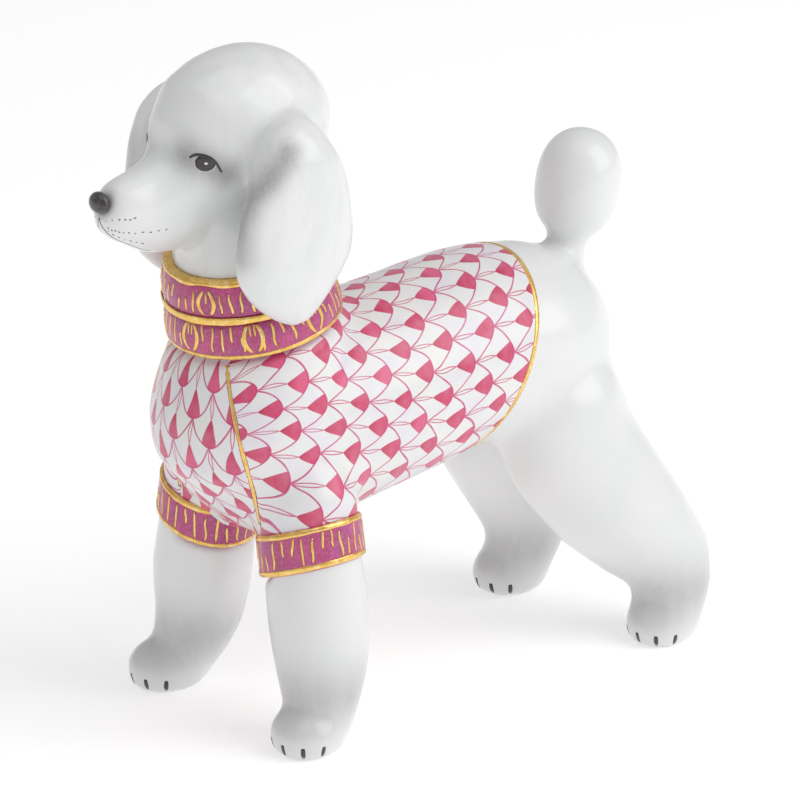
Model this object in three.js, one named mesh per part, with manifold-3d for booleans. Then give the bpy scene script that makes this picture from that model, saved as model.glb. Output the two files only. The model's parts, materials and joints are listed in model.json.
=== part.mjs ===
// Porcelain poodle figurine wearing a roll-neck sweater, as the set of slip castings it is luted from.
// Millimetres, +Z up. The dog faces -Y and its left side is +X. The origin is on the ground, below the middle
// of the figurine's box. Every piece is a closed solid of its own, GAP clear of its neighbours.
import * as THREE from "three";
import { mergeVertices } from "three/addons/utils/BufferGeometryUtils.js";
import Module from "manifold-3d";

const wasm = await Module();
wasm.setup();

// ---------------------------------------------------------------- driving dimensions, mm and degrees

const GAP = 0.3; // luting joint between two pieces
const WALL = 3.0; // slip-cast wall of the torso, rump and head
const VENT_RADIUS = 1.1; // firing vent under the belly
const BORE_RADIUS = 4.0; // passage through the neck that drains the head's hollow

const BAND_WIDTH = 0.9; // gilded edging bands
const BAND_RELIEF = 0.12; // how far a band stands proud of the glaze
const BAND_DEPTH = 0.5; // how deep it is let into the edge it covers
const BAND_CLEARANCE = 0.4; // room between a band and the shoulders of its rebate

const TORSO_HALF_WIDTH = 15.2;
const TORSO_AXIS_Z = 47.6; // the barrel's axis over the ground
const BACK_HEIGHT = 14.8; // axis to the top of the back
const CHEST_Y = -20.6; // middle of the rib cage and of the neck's root
const CHEST_DEPTH = 18.2; // axis to the brisket
const HEM_Y = 20.8; // the sweater's hem on the barrel's axis
const HEM_TILT = 25; // the hem's top edge is further back than its belly edge
const RUMP_Y = 33.0;
const RUMP_HALF_WIDTH = 14.4;

const COLLAR_BASE_RADIUS = 12.9;
const COLLAR_FOLD_RADIUS = 12.7;
const COLLAR_TOP_RADIUS = 11.7;
const COLLAR_ROLL_HEIGHT = 6.4; // each of the two rolls
const COLLAR_TILT = 11; // the nape's edge is higher than the throat's
const COLLAR_RISE = 14.6; // torso axis to the collar's base
const NECK_RADIUS = 9.2;

const HEAD_Y = -22.2; // middle of the topknot
const HEAD_RISE = 47.8; // torso axis to the topknot's middle
const HEAD_HALF_WIDTH = 11.5;
const HEAD_HEIGHT = 10.8; // middle to the crown
const HEAD_LENGTH = 14.8; // middle to the back of the topknot
const MUZZLE_LENGTH = 26.6; // middle of the topknot to the muzzle's tip
const MUZZLE_HALF_WIDTH = 4.3;
const NOSE_RADIUS = 1.7;
const EAR_LENGTH = 33;
const EAR_WIDTH = 20;
const EAR_THICKNESS = 6.6;

const FORELEG_X = 12.2; // the foreleg's axis under the cuff
const FORELEG_Y = -19.6;
const FORELEG_RADIUS = 7.6;
const CUFF_DROP = 17.0; // torso axis down to the middle of the cuff
const CUFF_HEIGHT = 7.0;
const CUFF_RELIEF = 0.6; // how far the cuff stands proud of the leg
const CUFF_TILT = 20; // the outer side is higher

const HIND_Y = 34.0; // top of the thigh
const THIGH_DROP = 11.6; // torso axis down to the thigh's fullest part
const KNEE_SHARE = 0.5; // where the leg starts to narrow, as a share of the torso axis's height
const THIGH_RADIUS = 10.8;
const HOCK_RADIUS = 7.0;
const PASTERN_RADIUS = 4.9;
const PAW_HALF_WIDTH = 5.4;
const PAW_LENGTH = 12.6;
const PAW_TURNOUT = 12;

// The dog stands with its left hind paw a little back: x is the distance from the middle, y along the body.
const PAWS = {
  fore_left: { x: 16.4, y: -23.2 },
  fore_right: { x: 16.6, y: -24.8 },
  hind_left: { x: 18.0, y: 45.4 },
  hind_right: { x: 12.6, y: 40.0 },
};

const TAIL_Y = 39.4;
const TAIL_RADIUS = 2.8;
const TAIL_STEM = 5.5;
const POMPOM_RADIUS = 6.5;
const POMPOM_HEIGHT = 16.6;
const TAIL_LEAN = 13; // backwards

const COLLAR_BASE_Z = TORSO_AXIS_Z + COLLAR_RISE;
const HEAD_Z = TORSO_AXIS_Z + HEAD_RISE;
const CUFF_Z = TORSO_AXIS_Z - CUFF_DROP;

// ---------------------------------------------------------------- solids

const rad = THREE.MathUtils.degToRad;
const opposite = (direction) => direction.map((n) => -n);
const moved = (point, direction, by) => point.map((n, i) => n + direction[i] * by);
const mirrored = (made) => made.mirror([1, 0, 0]);

// The same closed geometry with its faces turned the other way.
function turnedInsideOut(geometry) {
  const turned = geometry.clone();
  const order = turned.index.array;
  for (let i = 0; i < order.length; i += 3) {
    [order[i + 1], order[i + 2]] = [order[i + 2], order[i + 1]];
  }
  return turned;
}

// A closed three.js geometry as a manifold-3d solid whose faces point out.
function solid(geometry) {
  const bare = geometry.clone();
  bare.deleteAttribute("normal");
  bare.deleteAttribute("uv");
  const merged = mergeVertices(bare, 1e-4);
  const made = new wasm.Manifold(
    new wasm.Mesh({
      numProp: 3,
      vertProperties: merged.attributes.position.array,
      triVerts: new Uint32Array(merged.index.array),
    }),
  );
  return made.volume() < 0 ? solid(turnedInsideOut(geometry)) : made;
}

function geometryOf(made) {
  const mesh = made.getMesh();
  const geometry = new THREE.BufferGeometry();
  geometry.setAttribute("position", new THREE.BufferAttribute(mesh.vertProperties, 3));
  geometry.setIndex(new THREE.BufferAttribute(mesh.triVerts, 1));
  geometry.computeVertexNormals();
  return geometry;
}

// A smooth body drawn over a spine. A station is {at: [x, y, z], side, up, down}: a point of the spine, the
// half-width across it, the reach above it (in front, on an upright spine) and the reach below it (behind).
// The ends are domes that take the given share of the spine, and grow makes the body larger all round.
function skin(stations, { around = 22, along = 14, startDome = 0.2, endDome = 0.2, grow = 0 } = {}) {
  const spine = new THREE.CatmullRomCurve3(stations.map((s) => new THREE.Vector3(...s.at)));
  const sizes = new THREE.CatmullRomCurve3(stations.map((s) => new THREE.Vector3(s.side, s.up, s.down)));
  const ball = new THREE.SphereGeometry(1, around, along);
  const vertices = ball.attributes.position;
  const onBall = new THREE.Vector3();
  for (let i = 0; i < vertices.count; i++) {
    onBall.fromBufferAttribute(vertices, i);
    const share = THREE.MathUtils.clamp((1 - onBall.y) / 2, 0, 1);
    const tangent = spine.getTangent(share);
    const size = sizes.getPoint(share);
    const fromStart = Math.min(1, share / startDome);
    const fromEnd = Math.min(1, (1 - share) / endDome);
    const dome = Math.sqrt(1 - (1 - fromStart) ** 2) * Math.sqrt(1 - (1 - fromEnd) ** 2);
    const side = new THREE.Vector3(1, 0, 0).addScaledVector(tangent, -tangent.x).normalize();
    const up = new THREE.Vector3().crossVectors(side, tangent).normalize();
    const turn = Math.atan2(onBall.z, onBall.x);
    const reach = Math.sin(turn) > 0 ? size.y : size.z;
    const ring = Math.min(1, 8 * Math.hypot(onBall.x, onBall.z)); // 0 at the poles, so that they stay points
    const place = spine.getPoint(share);
    place.addScaledVector(tangent, grow * (2 * share - 1));
    place.addScaledVector(side, Math.cos(turn) * (size.x * dome + grow) * ring);
    place.addScaledVector(up, Math.sin(turn) * (reach * dome + grow) * ring);
    vertices.setXYZ(i, place.x, place.y, place.z);
  }
  return solid(ball);
}

const shrunk = (stations, by) =>
  stations.map((s) => ({ at: s.at, side: s.side - by, up: s.up - by, down: s.down - by }));

// Everything on one side of a plane: the side that the direction points to.
const FAR = 200;
function half(point, direction) {
  const block = new THREE.BoxGeometry(2 * FAR, 2 * FAR, FAR);
  block.translate(0, 0, FAR / 2);
  const upright = new THREE.Vector3(0, 0, 1);
  block.applyQuaternion(new THREE.Quaternion().setFromUnitVectors(upright, new THREE.Vector3(...direction)));
  block.translate(...point);
  return solid(block);
}

// The layer between two parallel planes: it starts at the point and is as thick as given.
const layer = (point, direction, thick) =>
  half(point, direction).intersect(half(moved(point, direction, thick), opposite(direction)));

// A gilded band let into the edge of a body, and the room that the body leaves for it.
function edging(body, point, direction) {
  const band = layer(point, direction, BAND_WIDTH).intersect(body(BAND_RELIEF)).subtract(body(-BAND_DEPTH));
  const around = layer(moved(point, direction, -BAND_CLEARANCE), direction, BAND_WIDTH + 2 * BAND_CLEARANCE);
  const room = around.intersect(body(WALL)).subtract(body(-BAND_DEPTH - GAP));
  return { band, room };
}

// ---------------------------------------------------------------- torso and rump

const CHEST_FRONT = 14.4; // middle of the rib cage to the prosternum
const barrelStations = [
  {
    at: [0, CHEST_Y - CHEST_FRONT, TORSO_AXIS_Z - 2.6],
    side: TORSO_HALF_WIDTH - 1,
    up: 13,
    down: CHEST_DEPTH - 4,
  },
  { at: [0, CHEST_Y, TORSO_AXIS_Z - 1], side: TORSO_HALF_WIDTH, up: BACK_HEIGHT, down: CHEST_DEPTH },
  { at: [0, CHEST_Y + 14, TORSO_AXIS_Z], side: TORSO_HALF_WIDTH, up: BACK_HEIGHT, down: CHEST_DEPTH - 1 },
  {
    at: [0, HEM_Y - 12, TORSO_AXIS_Z + 0.8],
    side: TORSO_HALF_WIDTH,
    up: BACK_HEIGHT + 0.2,
    down: CHEST_DEPTH - 2.6,
  },
  {
    at: [0, HEM_Y, TORSO_AXIS_Z + 1.4],
    side: TORSO_HALF_WIDTH - 0.1,
    up: BACK_HEIGHT + 0.5,
    down: CHEST_DEPTH - 4,
  },
  { at: [0, RUMP_Y, TORSO_AXIS_Z + 0.4], side: RUMP_HALF_WIDTH, up: BACK_HEIGHT, down: CHEST_DEPTH - 5 },
  { at: [0, RUMP_Y + 12.4, TORSO_AXIS_Z - 4], side: RUMP_HALF_WIDTH - 1.2, up: 11, down: CHEST_DEPTH - 6 },
];
const barrel = (grow) => skin(barrelStations, { around: 30, along: 20, startDome: 0.22, endDome: 0.2, grow });

const hemUp = [0, -Math.cos(rad(HEM_TILT)), Math.sin(rad(HEM_TILT))]; // out of the hem, towards the head
const hem = [0, HEM_Y, TORSO_AXIS_Z + 1];
const collarUp = [0, -Math.sin(rad(COLLAR_TILT)), Math.cos(rad(COLLAR_TILT))];
const collarBase = [0, CHEST_Y + 0.5, COLLAR_BASE_Z];
const collarFold = moved(collarBase, collarUp, COLLAR_ROLL_HEIGHT);
const collarTop = moved(collarFold, collarUp, COLLAR_ROLL_HEIGHT);

// The neck's root: it grows out of the chest up to the sweater's collar.
const rootStations = [
  { at: [0, CHEST_Y - 0.6, TORSO_AXIS_Z - 12], side: TORSO_HALF_WIDTH - 0.8, up: 14.4, down: 13 },
  { at: [0, CHEST_Y - 0.6, TORSO_AXIS_Z], side: TORSO_HALF_WIDTH, up: 15.2, down: 15 },
  {
    at: moved(collarBase, collarUp, -2),
    side: COLLAR_BASE_RADIUS,
    up: COLLAR_BASE_RADIUS,
    down: COLLAR_BASE_RADIUS,
  },
  { at: collarFold, side: COLLAR_FOLD_RADIUS, up: COLLAR_FOLD_RADIUS, down: COLLAR_FOLD_RADIUS },
];
const root = (grow) => skin(rootStations, { around: 24, along: 10, startDome: 0.3, endDome: 0.1, grow });
const sweatered = (grow) =>
  barrel(grow).add(root(grow).intersect(half(moved(collarBase, collarUp, grow), opposite(collarUp))));

const hollow = skin(shrunk(barrelStations, WALL), {
  around: 14,
  along: 8,
  startDome: 0.3,
  endDome: 0.3,
  grow: -0.5,
});

function upright(radius, x, y, low, high) {
  const rod = new THREE.CylinderGeometry(radius, radius, high - low, 16);
  rod.rotateX(Math.PI / 2);
  rod.translate(x, y, (low + high) / 2);
  return solid(rod);
}

const vent = upright(VENT_RADIUS, 0, CHEST_Y + 22, 0, TORSO_AXIS_Z);
const bore = upright(BORE_RADIUS, 0, HEAD_Y, TORSO_AXIS_Z, HEAD_Z - 4);

// ---------------------------------------------------------------- neck, collar and head

const neckStations = [
  { at: [0, HEAD_Y, COLLAR_BASE_Z - 6], side: NECK_RADIUS, up: NECK_RADIUS, down: NECK_RADIUS },
  { at: [0, HEAD_Y, COLLAR_BASE_Z + 8], side: NECK_RADIUS, up: NECK_RADIUS, down: NECK_RADIUS },
  { at: [0, HEAD_Y, HEAD_Z - 4], side: NECK_RADIUS - 1, up: NECK_RADIUS, down: NECK_RADIUS },
];
const neckWhole = (grow) => skin(neckStations, { around: 20, along: 6, startDome: 0.1, endDome: 0.2, grow });

const muzzleTip = HEAD_Y - MUZZLE_LENGTH;
const headStations = [
  { at: [0, muzzleTip, HEAD_Z - 9.9], side: MUZZLE_HALF_WIDTH - 1.4, up: 3.2, down: 3.6 },
  { at: [0, muzzleTip + 4.2, HEAD_Z - 10.2], side: MUZZLE_HALF_WIDTH, up: 4.9, down: 5.2 },
  { at: [0, muzzleTip + 9.2, HEAD_Z - 10.2], side: MUZZLE_HALF_WIDTH + 0.8, up: 6.0, down: 8.2 },
  { at: [0, muzzleTip + 15.0, HEAD_Z - 8.6], side: MUZZLE_HALF_WIDTH + 2.6, up: 6.9, down: 10 },
  { at: [0, HEAD_Y - 4.8, HEAD_Z - 3.6], side: HEAD_HALF_WIDTH - 0.8, up: HEAD_HEIGHT + 1.6, down: 13.2 },
  { at: [0, HEAD_Y + 0.6, HEAD_Z - 2.0], side: HEAD_HALF_WIDTH, up: HEAD_HEIGHT + 1.6, down: 14.4 },
  {
    at: [0, HEAD_Y + HEAD_LENGTH * 0.55, HEAD_Z - 1.6],
    side: HEAD_HALF_WIDTH - 0.6,
    up: HEAD_HEIGHT + 0.6,
    down: 13.4,
  },
  { at: [0, HEAD_Y + HEAD_LENGTH, HEAD_Z - 1.6], side: HEAD_HALF_WIDTH - 3, up: 8.6, down: 9.6 },
];
const head = (grow) => skin(headStations, { around: 26, along: 24, startDome: 0.1, endDome: 0.3, grow });

function nose(grow) {
  const ball = new THREE.SphereGeometry(NOSE_RADIUS + grow, 12, 8);
  ball.scale(1.15, 0.8, 1);
  ball.translate(0, muzzleTip + 0.7, HEAD_Z - 8.4);
  return solid(ball);
}

const earMiddle = HEAD_Y - 1.6;
const earStations = [
  {
    at: [11.6, HEAD_Y + 1.0, HEAD_Z + 2.4],
    side: EAR_THICKNESS * 0.5,
    up: EAR_WIDTH * 0.22,
    down: EAR_WIDTH * 0.24,
  },
  {
    at: [14.2, HEAD_Y - 0.9, HEAD_Z - 5],
    side: EAR_THICKNESS * 0.6,
    up: EAR_WIDTH * 0.4,
    down: EAR_WIDTH * 0.4,
  },
  {
    at: [13.2, earMiddle + 0.8, HEAD_Z - EAR_LENGTH * 0.55],
    side: EAR_THICKNESS / 2,
    up: EAR_WIDTH * 0.53,
    down: EAR_WIDTH * 0.53,
  },
  {
    at: [12.8, earMiddle + 1.7, HEAD_Z + 3.4 - EAR_LENGTH],
    side: EAR_THICKNESS / 2,
    up: EAR_WIDTH * 0.24,
    down: EAR_WIDTH * 0.32,
  },
];
const earWhole = skin(earStations, { around: 20, along: 14, startDome: 0.3, endDome: 0.34 });

// One roll of the collar: a ring round the neck, larger by grow at its outside.
function roll(low, lowRadius, highRadius, grow) {
  const bottom = -Math.max(0, grow);
  const top = COLLAR_ROLL_HEIGHT - GAP - bottom;
  const soft = 0.9;
  const inner = BORE_RADIUS + 1 + Math.min(0, grow);
  const profile = new THREE.Path();
  profile.moveTo(inner, bottom);
  profile.lineTo(lowRadius - soft + grow, bottom);
  profile.quadraticCurveTo(lowRadius + grow, bottom, lowRadius + grow, bottom + soft);
  profile.quadraticCurveTo(lowRadius + 0.5 + grow, (bottom + top) / 2, highRadius + grow, top - soft);
  profile.quadraticCurveTo(highRadius + grow, top, highRadius - soft + grow, top);
  profile.lineTo(inner, top);
  profile.lineTo(inner, bottom);
  const ring = new THREE.LatheGeometry(profile.getPoints(2), 30);
  ring.rotateX(Math.PI / 2);
  const upright = new THREE.Vector3(0, 0, 1);
  const tilt = new THREE.Quaternion().setFromUnitVectors(upright, new THREE.Vector3(...collarUp));
  ring.applyQuaternion(tilt);
  ring.translate(...moved(low, collarUp, GAP));
  return solid(ring);
}
const lowerRoll = (grow) => roll(collarBase, COLLAR_BASE_RADIUS + 0.2, COLLAR_FOLD_RADIUS, grow);
const upperRoll = (grow) => roll(collarFold, COLLAR_FOLD_RADIUS - 0.1, COLLAR_TOP_RADIUS, grow);

// ---------------------------------------------------------------- legs

const ground = half([0, 0, 0], [0, 0, 1]);

function paw({ x, y }) {
  const lift = 3.2;
  const reach = PAW_LENGTH / 2;
  const stations = [
    { at: [0, reach, lift], side: PAW_HALF_WIDTH - 0.4, up: 3.6, down: 5.2 },
    { at: [0, 0, lift], side: PAW_HALF_WIDTH, up: 4.2, down: 5.2 },
    { at: [0, -reach, lift - 0.3], side: PAW_HALF_WIDTH - 0.4, up: 3.2, down: 5.2 },
  ].reverse();
  const made = skin(stations, { around: 18, along: 10, startDome: 0.36, endDome: 0.42 });
  return made.rotate([0, 0, PAW_TURNOUT]).translate([x, y, 0]);
}

const forelegStations = (foot) => [
  {
    at: [foot.x - 0.4, foot.y + 1.4, 0.2],
    side: PASTERN_RADIUS - 1,
    up: PASTERN_RADIUS - 1,
    down: PASTERN_RADIUS - 1,
  },
  {
    at: [foot.x - 0.6, foot.y + 2.2, 4],
    side: PASTERN_RADIUS,
    up: PASTERN_RADIUS,
    down: PASTERN_RADIUS + 0.4,
  },
  {
    at: [foot.x - 1.4, FORELEG_Y - 0.4, 11],
    side: FORELEG_RADIUS - 1,
    up: FORELEG_RADIUS - 1,
    down: FORELEG_RADIUS - 0.6,
  },
  {
    at: [foot.x - 2.2, FORELEG_Y, CUFF_Z * 0.62],
    side: FORELEG_RADIUS,
    up: FORELEG_RADIUS,
    down: FORELEG_RADIUS,
  },
  {
    at: [FORELEG_X, FORELEG_Y, CUFF_Z],
    side: FORELEG_RADIUS - 0.4,
    up: FORELEG_RADIUS - 0.3,
    down: FORELEG_RADIUS - 0.3,
  },
  {
    at: [FORELEG_X - 2, FORELEG_Y, CUFF_Z + 14],
    side: FORELEG_RADIUS - 0.8,
    up: FORELEG_RADIUS,
    down: FORELEG_RADIUS,
  },
];
const foreleg = (foot, grow) =>
  skin(forelegStations(foot), { around: 22, along: 16, startDome: 0.1, endDome: 0.1, grow });

const cuffUp = [-Math.sin(rad(CUFF_TILT)), 0, Math.cos(rad(CUFF_TILT))];
const cuffLow = moved([FORELEG_X, FORELEG_Y, CUFF_Z], cuffUp, -CUFF_HEIGHT / 2);
const cuffHigh = moved(cuffLow, cuffUp, CUFF_HEIGHT);

// The pieces of one foreleg, on the left side: the sleeve that the torso ends in, the pocket that the torso
// leaves for the cuff and leg, the cuff with its two bands, and the leg with its paw.
function forelimb(foot) {
  const leg = (grow) => foreleg(foot, grow);
  const cuffed = (grow) => leg(CUFF_RELIEF + grow);
  const lower = edging(cuffed, moved(cuffLow, cuffUp, GAP), cuffUp);
  const upper = edging(cuffed, moved(cuffHigh, cuffUp, -BAND_WIDTH - GAP), cuffUp);
  const cuff = cuffed(0)
    .intersect(layer(moved(cuffLow, cuffUp, GAP / 2), cuffUp, CUFF_HEIGHT - GAP))
    .subtract(lower.room)
    .subtract(upper.room);
  const sleeve = leg(CUFF_RELIEF * 0.6).intersect(half(cuffLow, cuffUp));
  const belowSleeve = half(moved(cuffHigh, cuffUp, GAP / 2), opposite(cuffUp));
  const pocket = cuffed(BAND_RELIEF + GAP).intersect(belowSleeve);
  const lowerLeg = leg(0)
    .intersect(half(moved(cuffLow, cuffUp, -GAP / 2), opposite(cuffUp)))
    .add(paw(foot))
    .intersect(ground);
  return { sleeve, pocket, cuff, lowerLeg, lowerBand: lower.band, upperBand: upper.band };
}

const hindStations = (foot) => [
  {
    at: [foot.x - 0.3, foot.y + 1.2, 0.2],
    side: PASTERN_RADIUS - 1,
    up: PASTERN_RADIUS - 1,
    down: PASTERN_RADIUS - 1,
  },
  { at: [foot.x - 0.3, foot.y + 1.6, 4], side: PASTERN_RADIUS, up: PASTERN_RADIUS, down: PASTERN_RADIUS },
  {
    at: [foot.x - 1.2, foot.y + 2.2, 11.5],
    side: HOCK_RADIUS - 0.6,
    up: HOCK_RADIUS + 0.2,
    down: HOCK_RADIUS,
  },
  {
    at: [12.0, HIND_Y + 5.4, TORSO_AXIS_Z * KNEE_SHARE],
    side: 8.8,
    up: THIGH_RADIUS,
    down: THIGH_RADIUS - 1.2,
  },
  {
    at: [8.6, HIND_Y - 0.6, TORSO_AXIS_Z - THIGH_DROP],
    side: 8.8,
    up: THIGH_RADIUS + 1.6,
    down: THIGH_RADIUS - 1,
  },
  { at: [6.4, HIND_Y - 1, TORSO_AXIS_Z + 1], side: 8.2, up: 9, down: 9.6 },
];
const hindWhole = (foot, grow) =>
  skin(hindStations(foot), { around: 22, along: 18, startDome: 0.1, endDome: 0.14, grow });
const leftHalf = half([GAP / 2, 0, 0], [1, 0, 0]);
const hindleg = (foot) =>
  hindWhole(foot, 0).add(paw(foot)).intersect(ground).intersect(leftHalf).subtract(barrel(GAP));

// ---------------------------------------------------------------- tail

function tail() {
  const top = TAIL_STEM + POMPOM_HEIGHT;
  const widest = TAIL_STEM + POMPOM_HEIGHT * 0.52;
  const profile = new THREE.Path();
  profile.moveTo(0, -3);
  profile.lineTo(TAIL_RADIUS + 1, -3);
  profile.quadraticCurveTo(TAIL_RADIUS, 2, TAIL_RADIUS, TAIL_STEM);
  profile.bezierCurveTo(TAIL_RADIUS + 2, TAIL_STEM + 1, POMPOM_RADIUS, widest - 6, POMPOM_RADIUS, widest);
  profile.bezierCurveTo(POMPOM_RADIUS, top - 3, POMPOM_RADIUS * 0.6, top, 0, top);
  const turned = new THREE.LatheGeometry(profile.getPoints(5), 24);
  turned.rotateX(Math.PI / 2 - rad(TAIL_LEAN));
  turned.translate(0, TAIL_Y, TORSO_AXIS_Z + BACK_HEIGHT - 5);
  return solid(turned).subtract(barrel(GAP));
}

// ---------------------------------------------------------------- the figurine

const finishes = {
  porcelain: { color: 0xf2f1ee, roughness: 0.12, metalness: 0 },
  sweater: { color: 0xf3d3de, roughness: 0.12, metalness: 0 },
  raspberry: { color: 0xb85a98, roughness: 0.18, metalness: 0 },
  gilding: { color: 0xd8a844, roughness: 0.2, metalness: 1 },
  noseBlack: { color: 0x2b2626, roughness: 0.15, metalness: 0 },
};

const figurine = new THREE.Group();
function piece(name, made, finish) {
  const mesh = new THREE.Mesh(geometryOf(made), new THREE.MeshStandardMaterial(finishes[finish]));
  mesh.name = name;
  figurine.add(mesh);
}

const limbs = { left: forelimb(PAWS.fore_left), right: forelimb(PAWS.fore_right) };
const sides = { left: (made) => made, right: mirrored };

const hemEdge = edging(sweatered, moved(hem, hemUp, GAP), hemUp);
const torso = sweatered(0)
  .add(limbs.left.sleeve)
  .add(mirrored(limbs.right.sleeve))
  .subtract(limbs.left.pocket)
  .subtract(mirrored(limbs.right.pocket))
  .intersect(half(hem, hemUp))
  .subtract(hemEdge.room)
  .subtract(hollow)
  .subtract(bore)
  .subtract(vent);
piece("torso", torso, "sweater");
piece("hem_band", hemEdge.band, "gilding");

const rump = barrel(-0.3).intersect(half(moved(hem, hemUp, -GAP), opposite(hemUp))).subtract(hollow);
piece("rump", rump, "porcelain");

const headRoom = head(GAP).add(head(GAP / 2)).add(head(0));
const neck = neckWhole(0).intersect(half(moved(collarBase, collarUp, GAP), collarUp));
piece("neck", neck.subtract(headRoom).subtract(bore), "porcelain");

const baseEdge = edging(lowerRoll, moved(collarBase, collarUp, 2 * GAP), collarUp);
const foldEdge = edging(upperRoll, moved(collarFold, collarUp, 2 * GAP), collarUp);
const topEdge = edging(upperRoll, moved(collarTop, collarUp, -BAND_WIDTH - GAP), collarUp);
piece("collar_lower_roll", lowerRoll(0).subtract(baseEdge.room).subtract(neckWhole(GAP)), "raspberry");
const upper = upperRoll(0).subtract(foldEdge.room).subtract(topEdge.room);
piece("collar_upper_roll", upper.subtract(neckWhole(GAP)).subtract(headRoom), "raspberry");
piece("collar_base_band", baseEdge.band, "gilding");
piece("collar_fold_band", foldEdge.band, "gilding");
piece("collar_top_band", topEdge.band.subtract(headRoom), "gilding");

const brainpan = skin(
  [
    { at: [0, HEAD_Y - 9, HEAD_Z - 5], side: 4, up: 6, down: 5 },
    { at: [0, HEAD_Y, HEAD_Z - 2], side: HEAD_HALF_WIDTH - WALL, up: HEAD_HEIGHT + 2 - WALL, down: 9 },
    { at: [0, HEAD_Y + 9, HEAD_Z - 2], side: HEAD_HALF_WIDTH - WALL - 2, up: 7, down: 6 },
  ],
  { around: 12, along: 6, startDome: 0.4, endDome: 0.4 },
);
piece("head", head(0).subtract(nose(GAP)).subtract(brainpan).subtract(bore), "porcelain");
piece("nose", nose(0), "noseBlack");
piece("tail", tail(), "porcelain");

const collarRoom = lowerRoll(GAP).add(upperRoll(GAP)).hull();
const ear = earWhole.subtract(headRoom).subtract(collarRoom).subtract(sweatered(GAP));
for (const [side, turn] of Object.entries(sides)) {
  const limb = limbs[side];
  piece("ear_" + side, turn(ear), "porcelain");
  piece("cuff_" + side, turn(limb.cuff), "raspberry");
  piece("cuff_upper_band_" + side, turn(limb.upperBand), "gilding");
  piece("cuff_lower_band_" + side, turn(limb.lowerBand), "gilding");
  piece("foreleg_" + side, turn(limb.lowerLeg), "porcelain");
  piece("hindleg_" + side, turn(hindleg(PAWS["hind_" + side])), "porcelain");
}

// The origin goes below the middle of the whole figurine.
const middle = new THREE.Box3().setFromObject(figurine).getCenter(new THREE.Vector3());
figurine.position.set(-middle.x, -middle.y, 0);

export default figurine;
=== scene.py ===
"""Looks of the porcelain poodle figurine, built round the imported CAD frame.

Metres, +Z up, the dog faces -Y. Left is +X.
"""
import json
import math

import bmesh
import bpy
import numpy as np
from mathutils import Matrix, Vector
from mathutils.bvhtree import BVHTree


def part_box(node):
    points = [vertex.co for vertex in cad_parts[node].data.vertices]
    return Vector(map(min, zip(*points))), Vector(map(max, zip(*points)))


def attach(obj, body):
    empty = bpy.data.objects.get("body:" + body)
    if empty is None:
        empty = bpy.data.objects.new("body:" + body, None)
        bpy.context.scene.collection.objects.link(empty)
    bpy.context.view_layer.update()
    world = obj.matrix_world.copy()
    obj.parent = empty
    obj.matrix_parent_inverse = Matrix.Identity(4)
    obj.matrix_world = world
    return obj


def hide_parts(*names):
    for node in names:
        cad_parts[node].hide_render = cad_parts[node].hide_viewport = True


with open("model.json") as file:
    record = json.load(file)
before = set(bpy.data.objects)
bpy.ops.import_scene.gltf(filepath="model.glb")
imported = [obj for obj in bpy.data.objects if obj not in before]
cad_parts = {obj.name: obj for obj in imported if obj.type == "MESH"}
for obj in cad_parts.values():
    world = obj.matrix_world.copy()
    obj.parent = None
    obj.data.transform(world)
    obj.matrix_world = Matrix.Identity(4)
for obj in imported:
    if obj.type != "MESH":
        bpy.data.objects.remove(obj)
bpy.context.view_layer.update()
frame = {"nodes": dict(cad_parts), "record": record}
MM = 0.001
NODES = frame["nodes"]


# ------------------------------------------------------------------ places taken from the CAD nodes


def middle(node):
    low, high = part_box(node)
    return (low + high) / 2


MID_X = middle("head").x
NOSE = middle("nose")
AXIS_Z = middle("rump").z - 1.15 * MM  # the barrel's axis
CHEST_Y = middle("neck").y  # the chest is round about this upright line
SIDES = {"left": 1, "right": -1}


def on_dog(side, x, y, z):
    """A point given in mm from the middle plane, and from the nose along the body and up."""
    return Vector((MID_X + side * x * MM, NOSE.y + y * MM, NOSE.z + z * MM))


def points_of(*nodes):
    return np.array([v.co for n in nodes for v in NODES[n].data.vertices])


def plane_of(node, up=(0, 0, 1)):
    """The middle and the axis of a flat ring."""
    p = points_of(node)
    centre = p.mean(0)
    axis = Vector(np.linalg.svd(p - centre)[2][2]).normalized()
    return Vector(centre), axis if axis.dot(Vector(up)) > 0 else -axis


def towards(azimuth, elevation):
    """The way from the dog to a viewer at these degrees; azimuth 0 is in front and 90 on the dog's left."""
    a, e = math.radians(azimuth), math.radians(elevation)
    return Vector((math.sin(a) * math.cos(e), -math.cos(a) * math.cos(e), math.sin(e)))


# ------------------------------------------------------------------ meshes


def mesh_of(bm, name="part"):
    mesh = bpy.data.meshes.new(name)
    bm.to_mesh(mesh)
    bm.free()
    return mesh


def grown(bm, by):
    """Moves every face of a closed body out, so that pieces a joint apart meet."""
    bm.normal_update()
    moves = [v.normal * by for v in bm.verts]
    for v, move in zip(bm.verts, moves):
        v.co += move
    return bm


def cad(node, grow):
    bm = bmesh.new()
    bm.from_mesh(NODES[node].data)
    bmesh.ops.remove_doubles(bm, verts=bm.verts, dist=1e-6)
    return mesh_of(grown(bm, grow))


def hull(points, grow):
    bm = bmesh.new()
    for p in points:
        bm.verts.new(p)
    found = bmesh.ops.convex_hull(bm, input=bm.verts)
    inside = {g for g in found["geom_interior"] + found["geom_unused"] if isinstance(g, bmesh.types.BMVert)}
    bmesh.ops.delete(bm, geom=list(inside), context="VERTS")
    return mesh_of(grown(bm, grow))


def plug(nodes, centre, radius, top, grow=0.6 * MM):
    """Fills an upright passage through some nodes, which doesn't show."""
    p = points_of(*nodes)
    near = np.hypot(p[:, 0] - centre[0], p[:, 1] - centre[1]) < radius
    return hull(p[near & (p[:, 2] < top)], grow)


def joined(meshes):
    bm = bmesh.new()
    for m in meshes:
        bm.from_mesh(m)
    return mesh_of(bm)


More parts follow.
